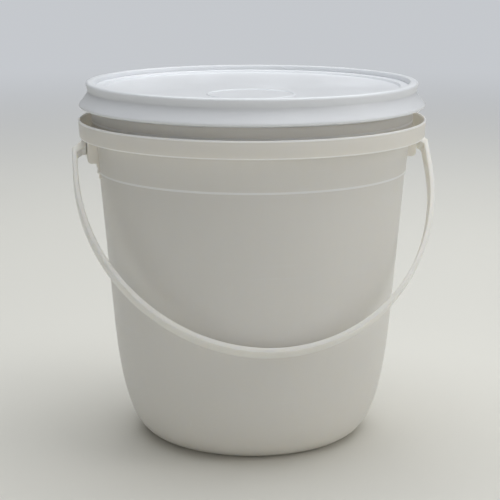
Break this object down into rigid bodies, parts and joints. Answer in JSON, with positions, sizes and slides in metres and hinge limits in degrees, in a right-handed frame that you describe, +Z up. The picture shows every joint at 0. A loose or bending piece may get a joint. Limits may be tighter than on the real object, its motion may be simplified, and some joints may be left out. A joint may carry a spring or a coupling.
{
  "type": "plastic pail with lid",
  "caption": "Round tapered plastic pail with a press-on lid, an open gutter collar under the rim and a bail handle that swings in ears at the sides.",
  "frame": {"origin": "middle of the ring that the pail stands on, in the plane of the surface under it", "axes": "+Z up out of the mouth, X through the two ears and along the bail's pivot axis, -Y towards the side where the bail hangs at rest"},
  "size_m": [0.234, 0.225, 0.2328],
  "materials": {
    "pail_plastic": "slightly translucent warm white polypropylene with a soft sheen",
    "lid_plastic": "opaque cool white polypropylene with a satin gloss",
    "handle_plastic": "white polypropylene with a satin gloss"
  },
  "bodies": {
    "pail": {"pail": "pail_plastic"},
    "lid": {"lid": "lid_plastic"},
    "bail": {"bail_handle": "handle_plastic"}
  },
  "joints": [
    {"name": "lid_lift", "type": "slide", "parent": "pail", "child": "lid", "axis": [0, 0, 1], "range_m": [0, 0.09]},
    {"name": "bail_swing", "type": "hinge", "parent": "pail", "child": "bail", "pos_m": [0, 0, 0.191], "axis": [-1, 0, 0], "range_deg": [0, 279.54]}
  ]
}
